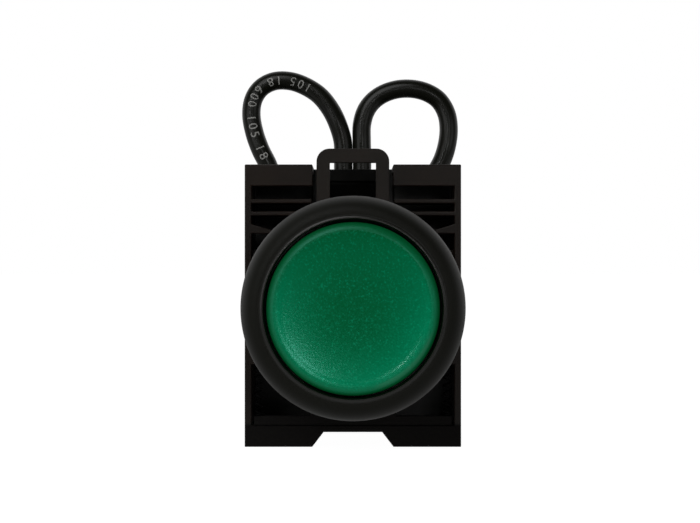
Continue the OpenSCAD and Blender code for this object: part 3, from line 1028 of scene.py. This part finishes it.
@dataclass
class TerminalScrew:
    """A terminal screw with a domed head, a cross and slot recess, and a threaded shank."""

    head_r: float = 2.68 * MM
    head_t: float = 2.4 * MM
    shank_r: float = 1.48 * MM
    pitch: float = 0.5 * MM
    thread_depth: float = 0.27 * MM
    tip: float = 0.4 * MM
    taper: float = 0.3 * MM
    dome: float = 0.5 * MM
    chamfer: float = 0.15 * MM
    slot_w: float = 0.8 * MM
    slot_depth: float = 1.1 * MM
    slot_reach: float = 1.2
    cross_reach: float = 0.62
    steps: int = 48

    def mesh(self, name: str, length: float) -> bpy.types.Mesh:
        """Builds one screw along Y, with its head's top at y = 0.

        Args:
            name: The mesh's name.
            length: Whole length of the screw.

        Returns:
            The screw's mesh, with the recess cut into its head.
        """
        root = self.shank_r - self.thread_depth
        edges = int((length - self.head_t - self.tip) / (self.pitch / 2))
        shank = [
            (self.shank_r if k % 2 else root, -self.head_t - k * self.pitch / 2)
            for k in range(edges)
        ]
        flat_r = self.head_r - self.dome
        under = -self.head_t
        outline = [(0.0, 0.0), (flat_r, 0.0)]
        outline += arc((flat_r, -self.dome), (self.dome, self.dome), -90, 0, 5)
        outline += [(self.head_r, under + self.chamfer), (self.head_r - self.chamfer, under)]
        outline += shank + [(root - self.taper, -length), (0.0, -length)]
        body = linked(name, lathe(name, outline, self.steps))
        cutters = [self.slot_cutter(angle) for angle in (0.0, math.pi / 2)]
        for cutter in cutters:
            cut = body.modifiers.new("recess", "BOOLEAN")
            cut.operation = "DIFFERENCE"
            cut.object = cutter
            cut.solver = "EXACT"
        mesh = baked(body)
        for cutter in cutters:
            bpy.data.objects.remove(cutter)
        smooth_by_angle(mesh, 30)
        return mesh

    def slot_cutter(self, angle: float) -> bpy.types.Object:
        """A blade that cuts one slot of the recess.

        Args:
            angle: Turn of the blade about the screw's axis. At 0 it is the long one.

        Returns:
            The blade.
        """
        reach = self.head_r * (self.cross_reach if angle else self.slot_reach)
        size = (2 * reach, 2 * self.slot_depth, self.slot_w)
        mesh = bpy.data.meshes.new("blade")
        with edited(mesh) as shape:
            bmesh.ops.create_cube(shape, size=1.0)
            bmesh.ops.scale(shape, vec=size, verts=shape.verts)
            bmesh.ops.rotate(shape, matrix=Matrix.Rotation(angle, 3, "Y"), verts=shape.verts)
        return linked("blade", mesh)

    def build(self, node: str, workshop: Workshop) -> None:
        """Puts a screw wherever the node has one.

        Args:
            node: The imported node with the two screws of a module.
            workshop: Where the piece is added.
        """
        low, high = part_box(node)
        centre_x = (low.x + high.x) / 2
        graph = GeometryGraph("set_" + node)
        pattern = linked("screw_" + node, self.mesh("screw_" + node, self.length_of(node)))
        shape = graph.node("GeometryNodeObjectInfo", {"Object": pattern}).outputs["Geometry"]
        places = [(centre_x, back, z) for back, z in self.backs(node)]
        mesh = graph.finish(graph.copies(shape, places), workshop.wardrobe.get("screw_zinc"))
        bpy.data.objects.remove(pattern)
        workshop.add(mesh, "fine_" + node, Body.ROOT, "screw_zinc", [node])

    def backs(self, node: str) -> list[tuple[float, float]]:
        """Back and height of the upper and of the lower screw in a node.

        Args:
            node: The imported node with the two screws.

        Returns:
            The head's place along Y and the axis's height, of each screw.
        """
        corners = [v.co for v in frame["nodes"][node].data.vertices]
        upper = [co for co in corners if co.z > 0]
        lower = [co for co in corners if co.z < 0]
        return [
            (max(co.y for co in part), (max(co.z for co in part) + min(co.z for co in part)) / 2)
            for part in (upper, lower)
        ]

    def length_of(self, node: str) -> float:
        """Length of the upper screw in a node."""
        ys = [v.co.y for v in frame["nodes"][node].data.vertices if v.co.z > 0]
        return max(ys) - min(ys)


# Head


@dataclass
class Head:
    """Bezel, cap, barrel, nut and the pieces behind the cap."""

    workshop: Workshop
    lip_drop: float = 1.1 * MM
    lip_rise: float = 0.19 * MM
    lip_edge: float = 0.45 * MM
    lip_gap: float = 0.13 * MM
    lip_taper: float = 0.1 * MM
    crest_out: float = 0.6 * MM
    bezel_wall: float = 1.25 * MM
    bezel_floor: float = 4.3 * MM
    bezel_edge: float = 0.3 * MM
    bezel_curve: float = 4.0 * MM
    crest_in: float = 1.1 * MM
    cap_gap: float = 0.4 * MM
    roll: float = 1.2 * MM
    dish: float = 0.54 * MM
    rim_start: float = 0.9
    rim_width: float = 0.07
    rim_rise: float = 0.047 * MM
    skirt_wall: float = 1.2 * MM
    face_wall: float = 1.9 * MM
    thread_pitch: float = 1.5 * MM
    thread_depth: float = 0.45 * MM
    barrel_r: float = 11.0 * MM
    barrel_wall: float = 1.7 * MM
    barrel_edge: float = 0.4 * MM
    groove_depth: float = 1.6 * MM
    groove_gap: float = 0.1 * MM
    ledge_step: float = 2.8 * MM
    ledge_back: float = 4.0 * MM
    cup_gap: float = 0.25 * MM
    cup_floor: float = 1.4 * MM
    thread_lead: float = 0.2 * MM
    thread_rest: float = 0.6 * MM
    thread_rows: int = 96
    flank: float = 3.2
    crest: float = 0.25
    run_out: float = 0.8 * MM
    nut_edge: float = 0.2 * MM
    bar_edge: float = 0.15 * MM
    nib: Point = (2.6 * MM, 1.9 * MM, 2.05 * MM)
    nib_z: float = 0.025 * MM
    ring_steps: int = 224
    barrel_steps: int = 144
    dish_rings: int = 64

    def build(self) -> None:
        """Builds every piece of the head."""
        self.bezel()
        self.cap()
        self.barrel()
        self.workshop.bevelled("ring_nut", Body.ROOT, self.nut_edge)
        self.workshop.bevelled("pusher_bar", Body.BUTTON, self.bar_edge)
        CoilSpring(
            "button_spring",
            Body.ROOT,
            coil_r=7.25 * MM,
            wire_r=0.34 * MM,
            turns=5.0,
            joint="button_press",
            keep=0.63,
        ).build(self.workshop)

    def bezel(self) -> None:
        """Turns the bezel: a convex ring whose lip drops to the cap in a chamfer."""
        low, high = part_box("bezel")
        outer = half_width("bezel")
        bore = half_width("lens_cap") + self.cap_gap
        lip_r = bore + self.lip_gap
        crest_r = lip_r + self.crest_out
        front = low.y
        face = front + self.lip_rise
        depth = self.bezel_curve - self.lip_rise
        curve = arc((crest_r, face + depth), (outer - crest_r, depth), 0, 90, 28)
        lip = [(lip_r + self.lip_edge, face)]
        lip += arc((lip_r, front + self.lip_edge), (self.lip_edge, self.lip_edge), 35, 96, 9)
        drop = front + self.lip_drop
        edge = self.bezel_edge
        inner = [
            (bore + self.lip_taper, drop - 1.2 * self.lip_taper),
            (bore, drop + 0.5 * self.lip_taper),
            (bore, front + self.bezel_floor),
            (outer - self.bezel_wall, front + self.bezel_floor + 0.05 * MM),
            (outer - self.bezel_wall, high.y),
        ]
        rear = arc((outer - edge, high.y - edge), (edge, edge), -90, 0, 5)
        mesh = lathe("bezel_ring", rear + curve + lip + inner, self.ring_steps)
        self.workshop.add(mesh, "fine_bezel", Body.ROOT, "head_black", ["bezel"])

    def cap(self) -> None:
        """Turns the cap: a shallow dish inside a rounded crest."""
        low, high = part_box("lens_cap")
        outer = half_width("lens_cap")
        crest_r = outer - self.crest_in
        front = low.y
        dish = []
        for share in (k / self.dish_rings for k in range(self.dish_rings)):
            climb = min(max((share - self.rim_start) / self.rim_width, 0.0), 1.0)
            ease = climb * climb * (3 - 2 * climb)
            fall = self.dish * (1 - share**3) + self.rim_rise * (1 - ease)
            dish.append((crest_r * share, front + fall))
        roll = arc((crest_r, front + self.roll), (self.crest_in, self.roll), 90, 0, 14)
        inner = outer - self.skirt_wall
        behind = front + self.face_wall
        rim = [(outer, high.y), (inner, high.y), (inner, behind), (0.0, behind)]
        mesh = lathe("cap_dish", dish + roll + rim, self.ring_steps)
        self.workshop.add(mesh, "fine_lens_cap", Body.BUTTON, "lens_green", ["lens_cap"])

    def barrel(self) -> None:
        """Turns the barrel with a helical thread, and adds the nib that locates it."""
        low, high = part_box("barrel")
        gasket_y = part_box("gasket")[0].y
        holder_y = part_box("holder")[0].y
        latch_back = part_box("latch")[1].y + self.groove_gap
        outer = self.barrel_r
        edge = self.barrel_edge
        groove_r = outer - self.groove_depth
        bore = outer - self.barrel_wall
        rear_bore = bore - self.ledge_step
        ledge = holder_y - self.ledge_back
        cup_r = half_width("lens_cap") + self.cup_gap
        cup_y = gasket_y - self.cup_floor
        flange_r = half_width("gasket")
        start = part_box("ring_nut")[0].y - self.thread_lead
        end = holder_y - self.thread_rest
        steps = self.thread_rows
        rows = [start + (end - start) * k / steps for k in range(steps + 1)]
        outline = [(flange_r, low.y), (flange_r, gasket_y), (outer, gasket_y)]
        outline += [(outer, y) for y in rows]
        outline += [(outer, holder_y), (groove_r, holder_y), (groove_r, latch_back)]
        outline += [(outer, latch_back), (outer, high.y - edge), (outer - edge, high.y)]
        outline += [(rear_bore + edge, high.y), (rear_bore, high.y - edge), (rear_bore, ledge)]
        outline += [(bore, ledge), (bore, cup_y), (cup_r, cup_y), (cup_r, low.y)]

        def threaded(radius: float, y: float, angle: float) -> float:
            """Sinks the thread's root along a helix.

            Args:
                radius: Radius of the outline's corner.
                y: Its place along Y.
                angle: Its turn about the axis.

            Returns:
                The radius, smaller in the thread's grooves.
            """
            if abs(radius - outer) > 1e-6 or not start < y < end:
                return radius
            turn = ((y - start) / self.thread_pitch - angle / math.tau) % 1.0
            ramp = min(abs(turn - 0.5) * self.flank - self.crest, 1.0)
            fade = min((y - start) / self.run_out, (end - y) / self.run_out, 1.0)
            return radius - self.thread_depth * fade * (1.0 - max(ramp, 0.0))

        mesh = lathe("barrel_body", outline, self.barrel_steps, threaded)
        middle = Vector((0.0, gasket_y + self.nib[1] / 2, outer + self.nib_z))
        with edited(mesh) as shape:
            corners = bmesh.ops.create_cube(shape, size=1.0)["verts"]
            bmesh.ops.scale(shape, vec=self.nib, verts=corners)
            bmesh.ops.translate(shape, vec=middle, verts=corners)
        smooth_by_angle(mesh, 30)
        self.workshop.add(mesh, "fine_barrel", Body.ROOT, "head_black", ["barrel"])


# Holder, latch and modules


@dataclass
class Holder:
    """Holder, latch plate and the two latch springs."""

    workshop: Workshop
    edge: float = 0.14 * MM

    def build(self) -> None:
        """Builds the holder, the latch and its springs."""
        self.workshop.bevelled("holder", Body.ROOT, self.edge)
        # The latch takes a finish with painted shade on its foot
        self.workshop.bevelled("latch", Body.LATCH, self.edge, finish="latch_black")
        CoilSpring(
            "latch_springs",
            Body.ROOT,
            coil_r=0.5 * MM,
            wire_r=0.14 * MM,
            turns=6.0,
            joint="latch_pull",
            keep=0.75,
            upright=True,
            slot="spring_black",
        ).build(self.workshop)


@dataclass
class ModuleStack:
    """The three modules behind the holder."""

    workshop: Workshop
    edge: float = 0.16 * MM
    clamp_edge: float = 0.12 * MM
    strip_edge: float = 0.06 * MM
    digit_size: float = 2.0 * MM
    digit_z: float = 8.6 * MM
    side_recess: float = 0.35 * MM

    def build(self) -> None:
        """Builds the housings, the screws, the springs and the terminal numbers."""
        numbers = {Module.NO: ("13", "14"), Module.LAMP: ("1", "2"), Module.NC: ("21", "22")}
        sides = {Module.NO: -1, Module.LAMP: 0, Module.NC: 1}
        for module in Module:
            name = module.value
            recess = sides[module] * self.side_recess
            # The lamp cover takes the shaded copy of module_black, with painted shade
            shaded = "cover_black" if module is Module.LAMP else ""
            self.workshop.bevelled(name + "_housing", Body.ROOT, self.edge, recess=recess)
            self.workshop.bevelled(name + "_cover", Body.ROOT, self.edge, shaded)
            self.workshop.bevelled(name + "_clamps", Body.ROOT, self.clamp_edge)
            self.workshop.bevelled(name + "_terminals", Body.ROOT, self.strip_edge)
            TerminalScrew().build(name + "_screws", self.workshop)
            self.digits(name, numbers[module])
        self.contact_springs()
        for node, body in (("no_plunger", Body.NO_PIN), ("nc_plunger", Body.NC_PIN)):
            self.workshop.bevelled(node, body, self.clamp_edge)

    def contact_springs(self) -> None:
        """Builds the springs of both contact modules."""
        for name, keep in (("no", 0.68), ("nc", 0.535)):
            CoilSpring(
                name + "_plunger_spring",
                Body.ROOT,
                coil_r=1.6 * MM,
                wire_r=0.19 * MM,
                turns=6.0,
                joint=name + "_pin_slide",
                keep=keep,
            ).build(self.workshop)
        thin = {"coil_r": 1.3 * MM, "wire_r": 0.14 * MM, "turns": 3.0}
        CoilSpring(
            "no_bridge_spring",
            Body.NO_PIN,
            joint="no_pin_slide",
            keep=0.36,
            anchor_high=False,
            **thin,
        ).build(self.workshop)
        CoilSpring("nc_bridge_spring", Body.NC_PIN, **thin).build(self.workshop)

    def digits(self, module: str, numbers: tuple[str, str]) -> None:
        """Prints a plain number beside each screw hole on the back of a module.

        Args:
            module: First part of the module's node names.
            numbers: The upper and the lower number.
        """
        low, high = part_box(module + "_housing")
        centre = (low + high) / 2
        turn = Matrix.Rotation(math.pi, 4, "Z") @ Matrix.Rotation(math.pi / 2, 4, "X")
        for text, z in zip(numbers, (centre.z + self.digit_z, centre.z - self.digit_z)):
            mesh = digits_mesh(text, self.digit_size, align_x="CENTER", extrude=2 * INK)
            mesh.transform(Matrix.Translation((centre.x, high.y + INK, z)) @ turn)
            name = f"number_{module}_{text}"
            self.workshop.add(mesh, name, Body.ROOT, "diffuser_white", finish="print_white")


# Jumper wires


@dataclass
class Jumper:
    """One insulated wire between two upper terminals, with its bare strands."""

    name: str
    route: Sequence[Point]
    strands_at: tuple[float, float]
    radius: float = 1.4 * MM
    strand_r: float = 0.19 * MM
    strand_count: int = 7
    strand_twist: float = 0.6
    print_text: str = ""
    print_start: float = 16.0 * MM
    print_size: float = 1.9 * MM
    print_gap: float = 1.35
    print_edge: float = 0.22 * MM

    def centreline(self, per_span: int = 8) -> list[Vector]:
        """Points of a smooth curve through the route, in metres.

        Args:
            per_span: Points taken between two of the route's points.

        Returns:
            The points, from one terminal to the other.
        """
        stops = [Vector(point) * MM for point in self.route]
        padded = [2 * stops[0] - stops[1], *stops, 2 * stops[-1] - stops[-2]]
        found: list[Vector] = []
        for a, b, c, d in zip(padded, padded[1:], padded[2:], padded[3:]):
            for k in range(per_span):
                t = k / per_span
                found.append(
                    0.5
                    * (
                        2 * b
                        + (c - a) * t
                        + (2 * a - 5 * b + 4 * c - d) * t**2
                        + (3 * b - a - 3 * c + d) * t**3
                    )
                )
        found.append(stops[-1])
        return found

    def build(self, workshop: Workshop) -> None:
        """Args:
            workshop: Where the pieces are added.
        """
        path = self.centreline()
        length = sum((b - a).length for a, b in zip(path, path[1:]))
        wire = bpy.data.curves.new("wire_" + self.name, "CURVE")
        wire.dimensions = "3D"
        spline = wire.splines.new("POLY")
        spline.points.add(len(path) - 1)
        for point, place in zip(spline.points, path):
            point.co = (*place, 1.0)
        wire.bevel_depth = self.radius
        wire.bevel_resolution = 8
        wire.use_fill_caps = True
        piece = linked("fine_" + self.name, wire)
        workshop.wardrobe.dress(piece, "wire_black")
        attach(piece, Body.ROOT.value)
        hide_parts(self.name)
        LOG.info("%s is %.1f mm long", piece.name, length / MM)
        self.strands(workshop)
        if self.print_text:
            self.printing(path[::-1], workshop)

    def strands(self, workshop: Workshop) -> None:
        """Twists the bare strands of each end round a middle one, with Geometry Nodes.

        Args:
            workshop: Where the piece is added.
        """
        node = self.name + "_ends"
        low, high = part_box(node)
        graph = GeometryGraph("strands_" + self.name)
        height = graph.size("Bare length", high.z - low.z)
        thin = graph.size("Strand radius", self.strand_r)
        lay = graph.size("Lay radius", 2 * self.strand_r)
        section = graph.node("GeometryNodeCurvePrimitiveCircle", {"Resolution": 8, "Radius": thin})
        strands = []
        step = math.tau / (self.strand_count - 1)
        for turn in range(self.strand_count):
            radius = lay if turn else 0.0
            helix = graph.node(
                "GeometryNodeCurveSpiral",
                {
                    "Resolution": 24,
                    "Rotations": self.strand_twist,
                    "Start Radius": radius,
                    "End Radius": radius,
                    "Height": height,
                },
            )
            turned = graph.node(
                "GeometryNodeTransform",
                {"Geometry": helix.outputs[0], "Rotation": (0.0, 0.0, turn * step)},
            )
            solid = {"Profile Curve": section.outputs[0], "Fill Caps": True}
            round_one = graph.node(
                "GeometryNodeCurveToMesh", {"Curve": turned.outputs[0], **solid}
            )
            strands.append(round_one.outputs[0])
        places = [(x, (low.y + high.y) / 2, low.z) for x in self.strands_at]
        placed = graph.copies(graph.joined(strands), places)
        smooth = graph.node("GeometryNodeSetShadeSmooth", {"Geometry": placed})
        mesh = graph.finish(smooth.outputs[0], workshop.wardrobe.get("copper"))
        workshop.add(mesh, "fine_" + node, Body.ROOT, "copper", [node])

    def printing(self, path: Sequence[Vector], workshop: Workshop) -> None:
        """Lays plain digits down the front of the wire, bent round its surface.

        Args:
            path: The wire's centreline, in the direction of reading.
            workshop: Where the piece is added.
        """
        mesh = digits_mesh(self.print_text, self.print_size, space_character=self.print_gap)
        steps = [0.0]
        for a, b in zip(path, path[1:]):
            steps.append(steps[-1] + (b - a).length)
        surface = self.radius + INK
        with edited(mesh) as shape:
            bmesh.ops.triangulate(shape, faces=shape.faces)
            for _ in range(3):
                long_edges = [e for e in shape.edges if e.calc_length() > self.print_edge]
                bmesh.ops.subdivide_edges(shape, edges=long_edges, cuts=1)
                bmesh.ops.triangulate(shape, faces=shape.faces)
            for vertex in shape.verts:
                along = min(max(vertex.co.x + self.print_start, 0.0), steps[-1])
                index = max(k for k, step in enumerate(steps[:-1]) if step <= along)
                ahead = (path[index + 1] - path[index]).normalized()
                centre = path[index] + ahead * (along - steps[index])
                front = (Vector((0, -1, 0)) + ahead * ahead.y).normalized()
                across = front.cross(ahead)
                angle = vertex.co.y / self.radius
                outwards = front * math.cos(angle) + across * math.sin(angle)
                vertex.co = centre + surface * outwards
        name = "digits_" + self.name
        workshop.add(mesh, name, Body.ROOT, "diffuser_white", finish="print_white")


LEFT_ROUTE = (
    (-12.2, 38, 17.8), (-12.2, 38, 18.9), (-12.8, 38, 20.8), (-13.9, 38, 23), (-14.8, 38.2, 25.5),
    (-15.3, 38.4, 28.2), (-15, 38.6, 30.6), (-13.8, 38.6, 32.4), (-11.8, 38.6, 33.4),
    (-9.4, 38.6, 33.4), (-7.1, 38.6, 32.6), (-5, 38.4, 31.2), (-3.4, 38.2, 29.2), (-2.3, 38, 27),
    (-1.52, 38, 24.4), (-1.42, 38, 22), (-1.42, 38, 20.5), (-1.45, 38, 19.5), (-1.9, 38, 18.5),
    (-1.9, 38, 17.8),
)
RIGHT_ROUTE = (
    (1.9, 38, 17.8), (1.9, 38, 18.5), (1.45, 38, 19.5), (1.42, 38, 20.5), (1.42, 38, 22),
    (1.36, 38, 24.4), (1.4, 38.2, 26.8), (2, 38.4, 28.9), (3.2, 38.6, 30.5), (4.9, 38.6, 31.6),
    (7, 38.6, 32.2), (9.3, 38.6, 32.2), (11.4, 38.6, 31.6), (13.1, 38.6, 30.4),
    (14.2, 38.4, 28.4), (14.5, 38.2, 26), (14.2, 38, 23.6), (13.5, 38, 21.4), (12.2, 38, 18.9),
    (12.2, 38, 17.8),
)


# Studio


@dataclass(frozen=True)
class SoftLamp:
    """A soft square lamp: where it hangs and its side, in metres, and its power, in watts."""

    name: str
    place: Point
    size: float
    watts: float

    def hang(self) -> None:
        """Hangs the lamp, pointed at the button."""
        light = bpy.data.lights.new(self.name, "AREA")
        light.size = self.size
        light.energy = self.watts
        stand = linked(self.name, light)
        stand.location = self.place
        stand.rotation_euler = (-Vector(self.place)).to_track_quat("-Z", "Y").to_euler()


LAMPS = (
    SoftLamp("key", (-0.13, -0.32, 0.33), 0.30, 0.88),
    SoftLamp("fill", (-0.30, -0.28, 0.02), 0.25, 0.34),
    SoftLamp("right", (0.32, -0.28, 0.02), 0.25, 0.2),
    SoftLamp("sheen", (0.095, -0.45, 0.08), 0.07, 0.14),
    SoftLamp("spark", (-0.15, -0.45, 0.155), 0.035, 0.13),
    SoftLamp("rear", (0.25, 0.45, 0.30), 0.35, 0.04),
)


@dataclass
class Studio:
    """Camera, floor and room light."""

    eye: Point = (-0.4 * MM, -305 * MM, 6.14 * MM)
    lens: float = 116.9
    sensor: float = 36.0
    sight: tuple[float, float] = (0.01, 20.0)
    floor_z: float = -19.55 * MM
    floor_reach: float = 4.0
    floor_pale: tuple[float, ...] = (0.8, 0.8, 0.8, 1.0)
    floor_dim: tuple[float, ...] = (0.12, 0.12, 0.12, 1.0)
    floor_bright: float = 0.5
    floor_glow: float = 1.16
    glow_share: float = 0.85
    dim_until: float = -66 * MM
    dim_fade: float = 24 * MM
    room_light: tuple[float, float] = (0.02, 0.9)
    room_fade: tuple[float, float] = (-0.45, 0.35)
    dim_above: float = 0.35

    def build_camera(self) -> None:
        """Puts the camera square in front of the button."""
        camera = bpy.data.cameras.new("camera")
        camera.lens = self.lens
        camera.sensor_width = self.sensor
        camera.clip_start, camera.clip_end = self.sight
        stand = linked("camera", camera)
        stand.location = self.eye
        stand.rotation_euler = (math.pi / 2, 0.0, 0.0)
        bpy.context.scene.camera = stand

    def build_light(self) -> None:
        """Sets a white room, a pale floor and the soft lamps."""
        bpy.context.scene.view_settings.view_transform = "Standard"
        self.room()
        self.floor()
        for lamp in LAMPS:
            lamp.hang()

    def room(self) -> None:
        """White to the eye, bright at the sides and the back, and dark in front and above."""
        world = bpy.data.worlds.new("room")
        bpy.context.scene.world = world
        graph = ShaderGraph(world)
        _, y, z = graph.place("Generated")
        names = ("From Min", "From Max", "To Min", "To Max")
        limits = dict(zip(names, self.room_fade + self.room_light))
        backwards = {"Value": y - z.clamped() * self.dim_above}
        fade = graph.node(
            "ShaderNodeMapRange", backwards | limits, interpolation_type="SMOOTHSTEP"
        )
        seen = graph.node("ShaderNodeBackground", {"Color": WHITE, "Strength": 1.0})
        light = graph.node(
            "ShaderNodeBackground", {"Color": WHITE, "Strength": fade.outputs["Result"]}
        )
        ray = graph.node("ShaderNodeLightPath").outputs["Is Camera Ray"]
        mix = graph.either(ray, light.outputs[0], seen.outputs[0])
        graph.node("ShaderNodeOutputWorld", {0: mix})

    def floor(self) -> None:
        """A plain pale floor under the holder, with a faint shadow.

        The eye sees it lit and glowing. To the pieces it is bright under the button and behind
        it, and dim farther in front, so that the cap and the bezel mirror a dark place there.
        """
        mesh = bpy.data.meshes.new("floor")
        reach = self.floor_reach
        corners = [(-reach, -reach), (reach, -reach), (reach, reach), (-reach, reach)]
        mesh.from_pydata([(x, y, self.floor_z) for x, y in corners], [], [(0, 1, 2, 3)])
        floor = linked("floor", mesh)
        graph = ShaderGraph(bpy.data.materials.new("pale_floor"))
        pale = graph.node("ShaderNodeBsdfDiffuse", {"Color": self.floor_pale})
        dim = graph.node("ShaderNodeBsdfDiffuse", {"Color": self.floor_dim})
        bright = graph.node("ShaderNodeEmission", {"Strength": self.floor_bright})
        glow = graph.node("ShaderNodeEmission", {"Strength": self.floor_glow})
        _, y, _ = graph.place()
        backwards = ((y - self.dim_until) / self.dim_fade).clamped()
        cast = graph.either(backwards, dim.outputs[0], bright.outputs[0])
        seen = graph.either(self.glow_share, pale.outputs[0], glow.outputs[0])
        ray = graph.node("ShaderNodeLightPath").outputs["Is Camera Ray"]
        graph.node("ShaderNodeOutputMaterial", {"Surface": graph.either(ray, cast, seen)})
        mesh.materials.append(graph.owner)


def main() -> None:
    """Builds the studio, the wires, the head, the holder and the modules."""
    logging.basicConfig(level=logging.INFO, format="%(message)s")
    studio = Studio()
    studio.build_camera()
    wardrobe = Wardrobe()
    wardrobe.dress_nodes()
    workshop = Workshop(wardrobe)
    Jumper(
        "jumper_left", LEFT_ROUTE, (-12.2 * MM, -2.2 * MM), print_text="105 18 600 105 18"
    ).build(workshop)
    Jumper("jumper_right", RIGHT_ROUTE, (2.2 * MM, 12.2 * MM)).build(workshop)
    Head(workshop).build()
    Holder(workshop).build()
    ModuleStack(workshop).build()
    studio.build_light()
    LOG.info("%d pieces made", len(workshop.pieces))


if __name__ == "__main__":
    main()
